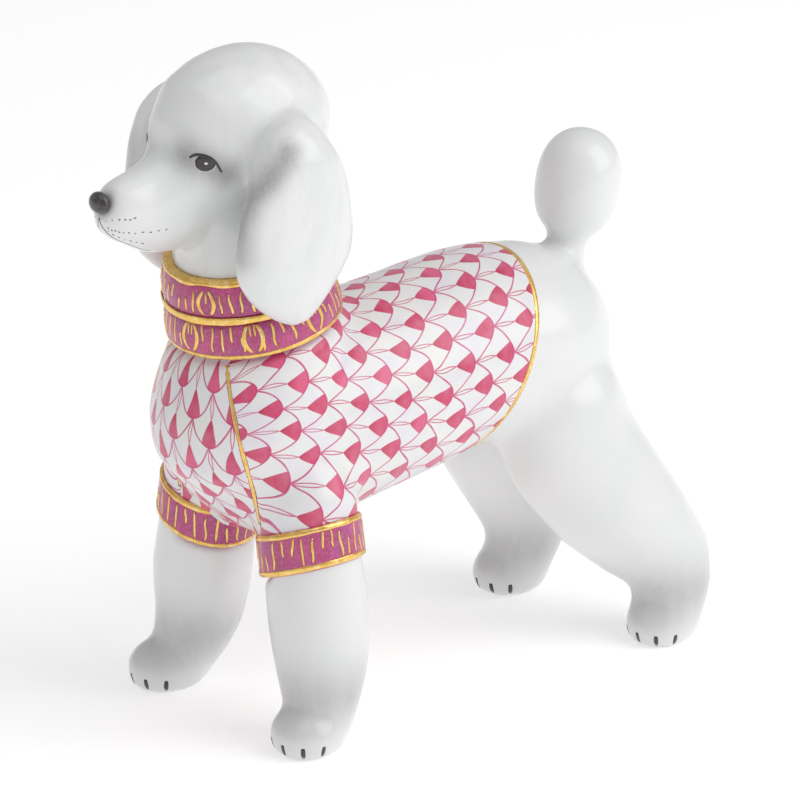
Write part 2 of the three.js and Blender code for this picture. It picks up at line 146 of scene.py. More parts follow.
def modified(mesh, kind, **settings):
    obj = bpy.data.objects.new("work", mesh)
    bpy.context.scene.collection.objects.link(obj)
    modifier = obj.modifiers.new("work", kind)
    for key, value in settings.items():
        setattr(modifier, key, value)
    bpy.context.view_layer.update()
    made = bpy.data.meshes.new_from_object(obj.evaluated_get(bpy.context.evaluated_depsgraph_get()))
    bpy.data.objects.remove(obj)
    return made


def remeshed(mesh, voxel):
    return modified(mesh, "REMESH", mode="VOXEL", voxel_size=voxel, use_smooth_shade=True)


def coords(mesh):
    co = np.empty(len(mesh.vertices) * 3, np.float32)
    mesh.vertices.foreach_get("co", co)
    return co.reshape(-1, 3).astype(float)


def normals(mesh):
    no = np.empty(len(mesh.vertices) * 3, np.float32)
    mesh.vertex_normals.foreach_get("vector", no)
    return no.reshape(-1, 3).astype(float)


def set_coords(mesh, co):
    mesh.vertices.foreach_set("co", co.astype(np.float32).ravel())
    mesh.update()


def offset(mesh, by):
    set_coords(mesh, coords(mesh) + normals(mesh) * by)
    return mesh


def largest_body(mesh):
    bm = bmesh.new()
    bm.from_mesh(mesh)
    seen, bodies = set(), []
    for start in bm.verts:
        if start in seen:
            continue
        body, front = [start], [start]
        seen.add(start)
        while front:
            v = front.pop()
            for edge in v.link_edges:
                other = edge.other_vert(v)
                if other not in seen:
                    seen.add(other)
                    body.append(other)
                    front.append(other)
        bodies.append(body)
    keep = set(max(bodies, key=len))
    bmesh.ops.delete(bm, geom=[v for v in bm.verts if v not in keep], context="VERTS")
    return mesh_of(bm)


def fused(parts, voxel=0.45 * MM, fillet=0.0, rounds=60):
    """One smooth skin over several closed parts, with concave joints filled to about the fillet's radius."""
    mesh = remeshed(joined(parts), voxel)
    if fillet:
        steps = max(1, round(fillet / (0.7 * MM)))
        for way in (1, -1):
            for _ in range(steps):
                mesh = remeshed(offset(mesh, way * fillet / steps), voxel)
    return modified(largest_body(mesh), "SMOOTH", factor=0.5, iterations=rounds)


def grounded(mesh):
    """Makes the soles flat: what is nearly on the floor goes down to it."""
    co = coords(mesh)
    co[:, 2] = np.where(co[:, 2] < 0.12 * MM, 0, co[:, 2])
    set_coords(mesh, co)
    return mesh


def cut(mesh, point, direction):
    """The part of a closed mesh on the side of a plane that the direction points to, closed again."""
    bm = bmesh.new()
    bm.from_mesh(mesh)
    whole = bm.verts[:] + bm.edges[:] + bm.faces[:]
    found = bmesh.ops.bisect_plane(bm, geom=whole, plane_co=point, plane_no=direction, clear_inner=True)
    cut_edges = [e for e in found["geom_cut"] if isinstance(e, bmesh.types.BMEdge)]
    for edge in cut_edges:
        edge.smooth = False
    filled = bmesh.ops.triangle_fill(bm, edges=cut_edges, use_beauty=True)
    for face in filled["geom"]:
        if isinstance(face, bmesh.types.BMFace):
            face.smooth = False
    bmesh.ops.recalc_face_normals(bm, faces=bm.faces)
    return mesh_of(bm)


def tree_of(mesh):
    return BVHTree.FromPolygons([v.co for v in mesh.vertices], [tuple(p.vertices) for p in mesh.polygons])


def skinned(bm, rings, closed=False):
    """Faces between rings of vertices that follow each other, the last ring meeting the first if closed."""
    for ring, following in zip(rings, rings[1:] + (rings[:1] if closed else [])):
        for j in range(len(ring)):
            k = (j + 1) % len(ring)
            bm.faces.new((ring[j], ring[k], following[k], following[j]))


def smooth_mesh(bm):
    """Turns the faces outwards and smooths them, except the many-sided ends of strokes."""
    bmesh.ops.recalc_face_normals(bm, faces=bm.faces)
    for face in bm.faces:
        face.smooth = len(face.verts) <= 4
    return mesh_of(bm)


def piece(name, mesh, material, slot, *replaced):
    mesh.name = name
    obj = bpy.data.objects.new(name, mesh)
    bpy.context.scene.collection.objects.link(obj)
    mesh.materials.clear()
    mesh.materials.append(material)
    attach(obj, "root")
    if replaced:
        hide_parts(*replaced)
    return obj


def attribute(mesh, name, values):
    layer = mesh.attributes.get(name) or mesh.attributes.new(name, "FLOAT", "POINT")
    layer.data.foreach_set("value", np.asarray(values, np.float32))


# ------------------------------------------------------------------ materials


def srgb(*levels):
    """A linear colour from the 0 to 255 levels of a picture."""
    linear = [c / 255 / 12.92 if c <= 10 else ((c / 255 + 0.055) / 1.055) ** 2.4 for c in levels]
    return (*linear, 1.0)


class Value:
    """A shader socket that arithmetic works on: each operation adds a Math node."""

    def __init__(self, tree, socket):
        self.tree, self.socket = tree, socket

    def math(self, operation, *others, clamp=False):
        node = self.tree.nodes.new("ShaderNodeMath")
        node.operation, node.use_clamp = operation, clamp
        for socket, value in zip(node.inputs, (self, *others)):
            if isinstance(value, Value):
                self.tree.links.new(value.socket, socket)
            else:
                socket.default_value = value
        return Value(self.tree, node.outputs[0])

    def __add__(self, other):
        return self.math("ADD", other)

    def __sub__(self, other):
        return self.math("SUBTRACT", other)

    def __mul__(self, other):
        return self.math("MULTIPLY", other)

    def __truediv__(self, other):
        return self.math("DIVIDE", other)

    def __rsub__(self, other):
        return (self * -1.0) + other

    def min(self, other):
        return self.math("MINIMUM", other)

    def max(self, other):
        return self.math("MAXIMUM", other)

    def abs(self):
        return self.math("ABSOLUTE")

    def floor(self):
        return self.math("FLOOR")

    def fract(self):
        return self.math("FRACT")

    def power(self, exponent):
        return self.math("POWER", exponent)

    def below(self, limit, soft):
        """1 where the value is under the limit, 0 where it is over, with a soft step."""
        node = self.tree.nodes.new("ShaderNodeMapRange")
        node.interpolation_type = "SMOOTHSTEP"
        node.inputs["From Min"].default_value = -soft
        node.inputs["From Max"].default_value = soft
        node.inputs["To Min"].default_value = 1.0
        node.inputs["To Max"].default_value = 0.0
        self.tree.links.new((self - limit).socket, node.inputs["Value"])
        return Value(self.tree, node.outputs["Result"])

    def choose(self, where_one, where_zero):
        """where_one if this mask is 1, where_zero if it is 0."""
        if isinstance(where_one, Value):
            return (where_one - where_zero) * self + where_zero
        if isinstance(where_zero, Value):
            return where_zero + (where_zero * -1.0 + where_one) * self
        return self * (where_one - where_zero) + where_zero


class Material:
    """A glazed or metal finish with helpers for its nodes."""

    def __init__(self, name, base, roughness, metallic=0.0, coat=0.0):
        self.material = bpy.data.materials.new(name)
        self.material.use_nodes = True
        self.tree = self.material.node_tree
        self.shader = self.tree.nodes["Principled BSDF"]
        self.set("Base Color", base)
        self.set("Roughness", roughness)
        self.set("Metallic", metallic)
        self.set("Coat Weight", coat)
        self.set("Coat Roughness", 0.12)
        self.place = self.tree.nodes.new("ShaderNodeTexCoord").outputs["Object"]
        self.colour = None

    def set(self, name, value):
        self.shader.inputs[name].default_value = value

    def link(self, output, name):
        self.tree.links.new(getattr(output, "socket", output), self.shader.inputs[name])

    def xyz(self):
        """The place in mm."""
        node = self.tree.nodes.new("ShaderNodeSeparateXYZ")
        self.tree.links.new(self.place, node.inputs[0])
        return [Value(self.tree, o) / MM for o in node.outputs]

    def noise(self, size, detail=2.0, stretch=(1, 1, 1), roughness=0.5):
        """Soft noise from 0 to 1 whose blobs are about size metres."""
        mapping = self.tree.nodes.new("ShaderNodeMapping")
        mapping.inputs["Scale"].default_value = [s / size for s in stretch]
        node = self.tree.nodes.new("ShaderNodeTexNoise")
        node.inputs["Scale"].default_value = 1.0
        node.inputs["Detail"].default_value = detail
        node.inputs["Roughness"].default_value = roughness
        self.tree.links.new(self.place, mapping.inputs["Vector"])
        self.tree.links.new(mapping.outputs[0], node.inputs["Vector"])
        return Value(self.tree, node.outputs["Fac"])

    def chance(self, *values):
        """A steady random number from 0 to 1 for each set of whole numbers."""
        pack = self.tree.nodes.new("ShaderNodeCombineXYZ")
        for socket, value in zip(pack.inputs, values):
            if isinstance(value, Value):
                self.tree.links.new(value.socket, socket)
            else:
                socket.default_value = value
        node = self.tree.nodes.new("ShaderNodeTexWhiteNoise")
        self.tree.links.new(pack.outputs[0], node.inputs["Vector"])
        return Value(self.tree, node.outputs["Value"])

    def reads(self, name):
        node = self.tree.nodes.new("ShaderNodeAttribute")
        node.attribute_name = name
        return Value(self.tree, node.outputs["Fac"])

    def paint(self, colour, mask):
        """Lays a colour over what is there, by a mask."""
        node = self.tree.nodes.new("ShaderNodeMix")
        node.data_type = "RGBA"
        if self.colour is None:
            node.inputs["A"].default_value = self.shader.inputs["Base Color"].default_value
        else:
            self.tree.links.new(self.colour, node.inputs["A"])
        node.inputs["B"].default_value = colour
        self.tree.links.new(mask.socket, node.inputs["Factor"])
        self.colour = next(o for o in node.outputs if o.type == "RGBA")
        self.link(self.colour, "Base Color")

    def bump(self, height, distance):
        node = self.tree.nodes.new("ShaderNodeBump")
        node.inputs["Distance"].default_value = distance
        self.tree.links.new(height.socket, node.inputs["Height"])
        self.link(node.outputs[0], "Normal")


GLAZE_WHITE = srgb(234, 234, 233)
SHADE_GREY = srgb(128, 127, 130)


def glaze(name):
    """Clear glossy glaze over white porcelain, with soft grey laid in where the grey attribute says:
    airbrushed grey, and in the face's hollows painted shade as well.
    """
    m = Material(name, GLAZE_WHITE, 0.32, coat=0.5)
    cloud = m.noise(9 * MM, 3.0)
    m.paint(srgb(228, 230, 231), cloud.below(0.5, 0.35))
    speckle = m.noise(0.35 * MM, 2.0)
    streak = m.noise(2.2 * MM, 3.0, (1.0, 1.0, 0.35))
    # The grey attribute: airbrushed grey on the legs; round the eyes, in front of the ears and under the jaw
    # it is also painted shade.
    grey = m.reads("grey") * (speckle * 0.5 + streak * 0.5 + 0.5)
    m.paint(SHADE_GREY, grey.min(1.0))
    locks = m.noise(3.2 * MM, 2.0, (1.0, 1.0, 0.3)).below(0.44, 0.09)
    m.paint(SHADE_GREY, locks * m.reads("locks") * 0.06)
    m.bump(m.noise(6 * MM, 1.0), 0.05 * MM)
    return m.material


def scale_pattern(m, a, b, wide, long, fan_half, fan_share):
    """Overlapping painted scales.

    a counts the lines that the points lie on, and b counts scales along a line towards the point. wide and
    long are the sizes of one step of each, in mm. Returns the masks of the fans, the lines and the fans' dark
    tips, and a random number for each scale.
    """
    row = a.floor()
    near = a - row
    far = 1.0 - near
    bulge = 1.9  # how squarely a scale's edge turns

    def arc(t, line):
        drop = t.power(bulge) * 0.5
        gap = (line * 0.5 - b - drop).fract()
        slope = t.power(bulge - 1) * (0.5 * bulge) / wide
        steep = ((slope * slope) + (a * 0.0 + 1.0) / (long * long)).power(0.5)
        return drop, gap, gap.min(1.0 - gap) / steep

    drop0, gap0, edge0 = arc(near, row)
    drop1, gap1, edge1 = arc(far, row + 1.0)
    first = (gap0 - gap1).below(0.0, 1e-5)
    gap = gap0.min(gap1)
    across = first.choose(near, far * -1.0)
    along = first.choose(drop0, drop1) + gap
    line_number = row + 1.0 - first
    scale_number = ((b + along) * 2.0 + 0.5).floor()
    luck = m.chance(line_number, scale_number, 3.0)
    luck2 = m.chance(line_number, scale_number, 8.0)
    length = (luck * 0.1 + 0.95) * fan_share
    side = (across * wide) + (luck2 - 0.5) * 0.35 * along
    share = (along / length).min(1.0)
    rounded = 1.0 - (1.0 - share / 0.3).max(0.0).power(2.0) * 0.38
    half = (1.0 - share).power(0.8) * rounded * fan_half * (luck2 * 0.16 + 0.92)
    fan = (side.abs() - half).below(0.0, 0.07) * (along - length).below(0.0, 0.004)
    open_part = ((along - length) / (1.0 - length)).max(0.0).min(1.0)
    leaf = (open_part * math.pi).math("SINE") * 0.25
    stem_edge = (side.abs() - leaf).abs()
    stem = stem_edge.below(0.075, 0.05) * (length - along).below(0.0, 0.01)
    outline = edge0.min(edge1).below(0.12, 0.06)
    tip = (share - 0.45).max(0.0) * 1.8
    return fan, outline.max(stem), tip, luck


TORSO_HALF_WIDTH, CHEST_RADIUS = 15.2, 14.2  # mm, the CAD's and the lower chest's
# Degrees between the lines of scales, and a scale's width and length in mm.
FLANK_TURN, FLANK_WIDE, FLANK_LONG = 15, 3.95, 7.7
CHEST_TURN, CHEST_WIDE, CHEST_LONG = 13.5, 3.3, 8.2
# The raglan seam: a height in mm, its degrees from the front there, and the degrees it gains in each mm down.
SEAM_TOP, SEAM_TURN, SEAM_LEAN = 59.1, 39.7, 0.97


def painted_sweater():
    """The scale pattern: it turns round the barrel on the flanks and round an upright line on the chest."""
    m = Material("painted_sweater", GLAZE_WHITE, 0.34, coat=0.4)
    x, y, z = m.xyz()
    wobble = (m.noise(7 * MM, 1.0) - 0.5) * 0.35
    wobble2 = (m.noise(6.1 * MM, 1.0, (1.1, 0.9, 1.2)) - 0.5) * 0.3
    x = x - MID_X / MM
    up = z - AXIS_Z / MM
    turn = x.math("ARCTAN2", up)
    below = ((up * -1.0 / TORSO_HALF_WIDTH) + math.pi / 2) * x.math("SIGN")
    outer = (up.below(0.0, 1.0)) * (1.0 - x.abs().below(9.5, 1.5))
    turn = outer.choose(below, turn)
    lift = (1.3 - y).max(0.0) * 0.0126
    turned = turn + lift * turn.math("SINE")
    flank_a = turned / math.radians(FLANK_TURN) - 0.6
    flank_b = (y - turned.math("COSINE") * 4.2) / FLANK_LONG + 0.195
    front = (y - CHEST_Y / MM) * -1.0
    round_chest = x.math("ARCTAN2", front)
    low = z.below(44.0, 4.0)
    flat_chest = (x / 14.6).max(-1.0).min(1.0).math("ARCSINE")
    chest_a = (low.choose(flat_chest, round_chest) - math.radians(3.7)) / math.radians(CHEST_TURN)
    front_of_rib = (CHEST_RADIUS * CHEST_RADIUS - x * x).max(1.0).power(0.5)
    tucked = (front_of_rib - front).max(0.0) * low * 0.8
    chest_b = (47.8 - z + tucked) / CHEST_LONG
    seam = (SEAM_TOP - z) * math.radians(SEAM_LEAN) + math.radians(SEAM_TURN)
    chest = (round_chest.abs() - seam).below(0.0, 1e-4)
    a = chest.choose(chest_a, flank_a) + wobble
    b = chest.choose(chest_b, flank_b) + wobble2 * 0.5
    wide = chest.choose(CHEST_WIDE, FLANK_WIDE)
    long = chest.choose(CHEST_LONG, FLANK_LONG)
    fan_half = chest.choose(1.35, 1.95)
    fan_share = chest.choose(0.54, 0.45)
    fan, line, tip, luck = scale_pattern(m, a, b, wide, long, fan_half, fan_share)
    wash = m.noise(1.3 * MM, 3.0)
    m.paint(srgb(229, 226, 233), m.noise(5 * MM, 2.0).below(0.45, 0.2))
    m.paint(srgb(208, 56, 106), fan * (wash * 0.25 + 0.82).min(1.0))
    m.paint(srgb(228, 100, 142), fan * luck.below(0.22, 0.05) * 0.7)
    m.paint(srgb(186, 26, 62), fan * tip.min(1.0) * 0.75)
    m.paint(srgb(202, 50, 112), line * (wash * 0.4 + 0.7).min(1.0))
    m.bump(m.noise(6 * MM, 1.0), 0.05 * MM)
    return m.material


def painted_trim():
    """The mauve of the roll-neck and the cuffs: a wash with the fine knit drawn in it."""
    m = Material("mauve_trim", srgb(184, 68, 122), 0.3, coat=0.4)
    m.paint(srgb(202, 80, 136), m.noise(2.6 * MM, 2.0).below(0.47, 0.12) * 0.7)
    m.paint(srgb(160, 72, 138), m.noise(3.4 * MM, 2.0, (1.2, 1, 1)).below(0.42, 0.1) * 0.55)
    knit = m.noise(0.32 * MM, 2.0, (1, 1, 0.45))
    m.paint(srgb(146, 42, 94), knit.below(0.44, 0.06) * 0.4)
    m.paint(srgb(212, 116, 162), m.noise(0.3 * MM, 1.0, (0.5, 0.5, 1)).below(0.38, 0.05) * 0.4)
    return m.material


def gilding():
    m = Material("gilding", srgb(242, 200, 114), 0.3, metallic=0.9)
    m.paint(srgb(222, 172, 86), m.noise(1.6 * MM, 2.0).below(0.45, 0.15) * 0.7)
    m.paint(srgb(255, 232, 168), m.noise(0.9 * MM, 2.0).below(0.4, 0.1) * 0.6)
    m.link(m.noise(0.7 * MM, 2.0) * 0.25 + 0.16, "Roughness")
    m.bump(m.noise(0.4 * MM, 2.0), 0.02 * MM)
    return m.material


def enamel(name, colour, lighter, roughness=0.2):
    m = Material(name, colour, roughness, coat=0.6)
    m.paint(lighter, m.noise(0.8 * MM, 2.0).below(0.45, 0.15) * 0.6)
    m.bump(m.noise(0.6 * MM, 2.0), 0.02 * MM)
    return m.material


PORCELAIN = glaze("porcelain")
SWEATER = painted_sweater()
TRIM = painted_trim()
GOLD = gilding()
NOSE_BLACK = enamel("nose_black", srgb(52, 46, 48), srgb(84, 78, 82))
OUTLINE = enamel("outline_plum", srgb(122, 50, 84), srgb(146, 66, 100))


# ------------------------------------------------------------------ bodies

JOINT = 0.3 * MM  # room between neighbouring CAD solids
NECK_GROWTH = 1.5 * MM  # the neck is drawn this much wider, to fill the collar
BORE_REACH, VENT_REACH = 4.3 * MM, 1.4 * MM  # a little over the radius of each passage
neck_at = middle("neck")
vent_at = Vector((MID_X, -0.92 * MM, 0))  # the firing vent under the belly
body_nodes = ["torso", "rump", "hindleg_left", "hindleg_right"]
body_parts = [cad(n, JOINT * 0.7) for n in body_nodes]
body_parts.append(plug(["torso"], neck_at, BORE_REACH, neck_at.z))
body_parts.append(plug(["torso"], vent_at, VENT_REACH, AXIS_Z))
for side in SIDES:
    body_parts.append(hull(points_of(f"cuff_{side}"), -0.4 * MM))
body = fused(body_parts, fillet=2.1 * MM, rounds=40)
body = grounded(fused([body, cad("tail", JOINT * 0.7)], fillet=0.7 * MM, rounds=40))
body_tree = tree_of(body)

hem_middle, hem_axis = plane_of("hem_band", up=(0, -1, 0))
sweater = cut(body, hem_middle, hem_axis)
hindquarters = cut(body, hem_middle, -hem_axis)

head_parts = [cad("head", -0.1 * MM)] + [cad(f"ear_{side}", JOINT) for side in SIDES]
head_parts.append(cad("neck", NECK_GROWTH))
head_parts.append(plug(["head", "neck"], neck_at, BORE_REACH, middle("head").z))
head = fused(head_parts, voxel=0.4 * MM, fillet=0.7 * MM, rounds=60)
head_tree = tree_of(head)

legs, cuffs = {}, {}
for side in SIDES:
    shank = points_of(f"foreleg_{side}")
    into_cuff = shank[shank[:, 2] > middle(f"cuff_lower_band_{side}").z - 1.5 * MM]
    into_cuff = np.vstack([into_cuff, into_cuff + np.array([0, 0, 4 * MM])])
    legs[side] = grounded(fused([cad(f"foreleg_{side}", 0.1 * MM), hull(into_cuff, 0.0)], rounds=50))
    cuff_points = points_of(f"cuff_{side}", f"cuff_upper_band_{side}", f"cuff_lower_band_{side}")
    cuffs[side] = fused([hull(cuff_points, 0.0)], voxel=0.3 * MM, rounds=14)

rolls = {
    "lower": ("collar_lower_roll", "collar_base_band"),
    "upper": ("collar_upper_roll", "collar_fold_band", "collar_top_band"),
}
collar = {
    name: fused([hull(points_of(*nodes), 0.0)], voxel=0.35 * MM, rounds=16)
    for name, nodes in rolls.items()
}

# ------------------------------------------------------------------ airbrushed grey, and painted shade in the face's hollows


def leg_grey(mesh, ankle, strength):
    """Airbrushed grey over the paws, strongest round the ankle and fading out up the leg."""
    z = coords(mesh)[:, 2]
    cloud = np.exp(-(((z - ankle) / (5.5 * MM)) ** 2))
    paw = 0.35 * np.clip((ankle - z) / ankle, 0, 1)
    return strength * np.maximum(cloud, paw)


LEG_GREY = 0.42  # its strength on all four legs
attribute(hindquarters, "grey", leg_grey(hindquarters, 8.5 * MM, LEG_GREY))


def near_curve(p, curve, radius):
    """1 on a curve of a few points, fading to 0 with the distance."""
    curve = np.array([tuple(c) for c in curve])
    best = np.full(len(p), 1e9)
    for start, end in zip(curve[:-1], curve[1:]):
        along = end - start
        t = np.clip((p - start) @ along / (along @ along), 0, 1)
        best = np.minimum(best, np.linalg.norm(p - start - t[:, None] * along, axis=1))
    return np.exp(-((best / radius) ** 2))


# Places on the face are on_dog's: mm from the middle plane, and from the nose back and up.
EYE = (6.9, 13.8, 4.8)
SOCKET = ((4.9, 12.3, 5.8), EYE, (8.4, 15.9, 3.2))
EAR_FRONT = ((16.2, 21.8, 7.2), (15.9, 17.9, 3.1), (14.4, 16.3, 0.8), (13.4, 15.6, -3.0), (13.2, 15.9, -8.0))
JAW = ((9.5, 21.0, -2.0), (7.0, 19.0, -8.5), (4.0, 12.0, -9.0))
# The grey round the eye sockets, along the front of the ears and under the jaw is airbrushed grey and painted
# shade of these hollows. It is stronger on the left ear than on the right.
co = coords(head)
grey = np.zeros(len(co))
for way in SIDES.values():
    ear_strength = 0.72 if way > 0 else 0.3
    for curve, strength, radius in ((SOCKET, 0.7, 2.6), (EAR_FRONT, ear_strength, 2.0), (JAW, 0.14, 4.5)):
        brushed_and_shaded = near_curve(co, [on_dog(way, *c) for c in curve], radius * MM)
        grey = np.maximum(grey, strength * brushed_and_shaded)
attribute(head, "grey", grey)
attribute(head, "locks", np.clip((co[:, 1] - NOSE.y - 12 * MM) / (6 * MM), 0, 1))
for side in SIDES:
    attribute(legs[side], "grey", leg_grey(legs[side], 9.0 * MM, LEG_GREY))

# ------------------------------------------------------------------ glazed pieces

piece("sweater", sweater, SWEATER, "painted_sweater", "torso")
piece("hindquarters", hindquarters, PORCELAIN, "porcelain", "rump", "hindleg_left", "hindleg_right", "tail")
piece("head_and_ears", head, PORCELAIN, "porcelain", "head", "neck", "ear_left", "ear_right")
for side in SIDES:
    piece(f"foreleg_{side}_glazed", legs[side], PORCELAIN, "porcelain", f"foreleg_{side}")
    piece(f"cuff_{side}_painted", cuffs[side], TRIM, "mauve_trim", f"cuff_{side}")
for name in rolls:
    piece(f"collar_{name}_painted", collar[name], TRIM, "mauve_trim", f"collar_{name}_roll")
nose = fused([cad("nose", 0.03 * MM)], voxel=0.2 * MM, rounds=10)
piece("nose_glazed", nose, NOSE_BLACK, "nose_black", "nose")


# ------------------------------------------------------------------ gold

# A gold line's section: across in half-widths and height in reliefs. The last point lies under the surface.
BAND_SECTION = [(-1.0, -0.12), (-0.8, 0.6), (-0.35, 1.0), (0.35, 1.0), (0.8, 0.6), (1.0, -0.12), (0.0, -2.5)]
BAND_STEPS = 180
OUTSIDE = 60 * MM  # rays start this far out


def round_axis(axis):
    """Directions at even turns round an axis."""
    start = Vector((1, 0, 0))
    start = (start - axis * start.dot(axis)).normalized()
    other = axis.cross(start)
    turns = [2 * math.pi * i / BAND_STEPS for i in range(BAND_STEPS)]
    return [(turn, start * math.cos(turn) + other * math.sin(turn)) for turn in turns]


def band(name, node, mesh, width, relief, shift=0.0):
    """A gilded ring that lies on a mesh where its CAD node is."""
    centre, axis = plane_of(node)
    centre = centre + axis * shift
    tree = tree_of(mesh)
    bm = bmesh.new()
    rings = []
    for turn, out in round_axis(axis):
        half = width / 2 * (1 + 0.07 * math.sin(5 * turn + 1.1) + 0.05 * math.sin(13 * turn))
        ring = []
        for across, height in BAND_SECTION:
            hit = tree.ray_cast(centre + axis * (across * half) + out * OUTSIDE, -out)[0]
            if hit is None:
                raise ValueError(f"{name}: the band misses its body")
            ring.append(bm.verts.new(hit + out * (height * relief)))
        rings.append(ring)
    skinned(bm, rings, closed=True)
    piece(name, smooth_mesh(bm), GOLD, "gilding", node)


band("hem_gold", "hem_band", body, 0.85 * MM, 0.13 * MM)
for side in SIDES:
    for edge in ("upper", "lower"):
        band(f"cuff_{side}_{edge}_gold", f"cuff_{edge}_band_{side}", cuffs[side], 0.95 * MM, 0.12 * MM)
band("collar_base_gold", "collar_base_band", collar["lower"], 0.95 * MM, 0.12 * MM)
FOLD_SHIFT = -0.5 * MM  # the gold of the fold lies this far from the middle of its CAD band
whole_collar = hull(points_of(*rolls["lower"], *rolls["upper"]), 0.05 * MM)
whole_collar = fused([whole_collar], voxel=0.35 * MM, rounds=10)
band("collar_fold_gold", "collar_fold_band", whole_collar, 1.15 * MM, 0.12 * MM, shift=FOLD_SHIFT)


def rim(name, node, mesh, relief):
    """A gilded edge that wraps over the top of a roll."""
    centre, axis = plane_of(node)
    tree = tree_of(mesh)
    top = max((v.co - centre).dot(axis) for v in mesh.vertices)
    bm = bmesh.new()
    rings = []
    for turn, out in round_axis(axis):
        low = top - (0.85 + 0.1 * math.sin(7 * turn) + 0.08 * math.sin(12 * turn)) * MM
        hit = tree.ray_cast(centre + axis * low + out * OUTSIDE, -out)[0]
        side = (hit - centre).dot(out)
        section = [(low, -0.05 * MM), (low + 0.2 * MM, relief), (top - 0.25 * MM, relief * 0.8)]
        section += [(top + relief * 0.4, -0.35 * MM), (top + relief, -0.8 * MM), (top + relief, -1.6 * MM)]
        section += [(top - 0.5 * MM, -1.6 * MM), (low + 0.3 * MM, -0.6 * MM)]
        rings.append([bm.verts.new(centre + axis * up + out * (side + more)) for up, more in section])
    skinned(bm, rings, closed=True)
    piece(name, smooth_mesh(bm), GOLD, "gilding", node)


rim("collar_top_gold", "collar_top_band", collar["upper"], 0.1 * MM)

# ------------------------------------------------------------------ brush strokes, laid on the surfaces

STROKE_SECTION = [(-1.0, -0.35), (-0.65, 0.65), (0.0, 1.0), (0.65, 0.65), (1.0, -0.35)]


def strokes(name, tree, paths, material, slot, relief, wider=0.0):
    """Raised brush strokes that follow a surface. A path is a list of (point, half-width)."""
    bm = bmesh.new()
    for path in paths:
        spots = [tree.find_nearest(point)[:2] for point, _ in path]
        rings = []
        for i, (spot, normal) in enumerate(spots):
            following = spots[min(i + 1, len(spots) - 1)][0]
            before = spots[max(i - 1, 0)][0]
            side = normal.cross(following - before).normalized()
            half = path[i][1] + wider
            ring = []
            for across, height in STROKE_SECTION:
                at, out, _, _ = tree.find_nearest(spot + side * across * half)
                ring.append(bm.verts.new(at + out * (height * relief)))
            ring.append(bm.verts.new(spot - normal * 1.2 * relief))
            rings.append(ring)
        skinned(bm, rings)
        bm.faces.new(rings[0])
        bm.faces.new(rings[-1][::-1])
    piece(name, smooth_mesh(bm), material, slot)


def patch(name, tree, centre, around, material, slot, relief, lift=0.0):
    """A filled, slightly domed spot of paint inside the points round it."""
    bm = bmesh.new()
    rings = []
    for share in (1.0, 0.85, 0.6, 0.3):
        ring = []
        for point in around:
            at, out, _, _ = tree.find_nearest(centre.lerp(point, share))
            ring.append(bm.verts.new(at + out * (relief * (1 - share**2) ** 0.5 + lift)))
        rings.append(ring)
    skinned(bm, rings)
    at, out, _, _ = tree.find_nearest(centre)
    top = bm.verts.new(at + out * (relief + lift))
    under = bm.verts.new(at - out * (0.1 * MM))
    for j in range(len(around)):
        k = (j + 1) % len(around)
        bm.faces.new((rings[-1][j], rings[-1][k], top))
        bm.faces.new((rings[0][k], rings[0][j], under))
    piece(name, smooth_mesh(bm), material, slot)


rng = np.random.RandomState(5)


def tapered(points, half):
    """A stroke's points with the pressure of a brush: thin at both ends."""
    pressure = [math.sin(math.pi * (0.12 + 0.8 * i / (len(points) - 1))) ** 0.6 for i in range(len(points))]
    return [(p, half * (0.35 + 0.65 * press)) for p, press in zip(points, pressure)]


def rib_paths(at, step, loops, loop_open):
    """Knit ribs round a tube, with cable loops between them. at(degrees, share of height) gives a point."""
    ribs, cables = [], []
    turn = -180.0
    while turn < 180.0:
        gap = min((abs((turn - loop + 180) % 360 - 180) for loop in loops), default=99)
        lean = rng.uniform(-0.12, 0.12) * step
        kind = rng.randint(0, 4)
        low, high = ((0.08, 0.93), (0.08, 0.6), (0.42, 0.93), (0.08, 0.86))[kind]
        low, high = low + rng.uniform(0, 0.06), high - rng.uniform(0, 0.06)
        wave = rng.uniform(-0.1, 0.1) * step
        if gap > 0.85 * step:
            points = []
            for i in range(9):
                share = i / 8
                bend = lean * (share - 0.5) * 2 + wave * math.sin(share * 2 * math.pi)
                points.append(at(turn + bend, low + (high - low) * share))
            ribs.append(tapered(points, rng.uniform(0.19, 0.26) * MM))
        turn += step * rng.uniform(0.9, 1.1)
    for loop in loops:
        for way in (-1, 1):
            points = []
            for i in range(13):
                share = i / 12
                shape = math.sin(math.pi * (0.06 + 0.84 * share)) ** 0.8
                spread = 0.12 + 1.02 * shape if loop_open else 0.1 + shape
                height = 0.08 + 0.8 * share if loop_open else 0.92 - 0.84 * share
                points.append(at(loop + way * spread * step * 0.78, height))
            halves = [(0.16 + 0.24 * math.sin(math.pi * (0.1 + 0.8 * i / 12))) * MM for i in range(13)]
            cables.append(list(zip(points, halves)))
        start, end = (0.9, 0.55) if loop_open else (0.86, 0.5)
        for way in ((-0.22, 0.22) if loop_open else (0.05,)):
            inner = [at(loop + way * step, start + (end - start) * i / 5) for i in range(6)]
            ribs.append(tapered(inner, 0.18 * MM))
    return ribs, cables


def tube_place(tree, low, high, axis):
    """A function from degrees (the front towards the left) and a share of the height to a point on a tube."""
    front = Vector((0, -1, 0))
    front = (front - axis * front.dot(axis)).normalized()
    left = Vector((1, 0, 0))
    left = (left - axis * left.dot(axis)).normalized()

    def at(degrees, share):
        turn = math.radians(degrees)
        out = front * math.cos(turn) + left * math.sin(turn)
        return tree.ray_cast(low.lerp(high, share) + out * OUTSIDE, -out)[0]

    return at


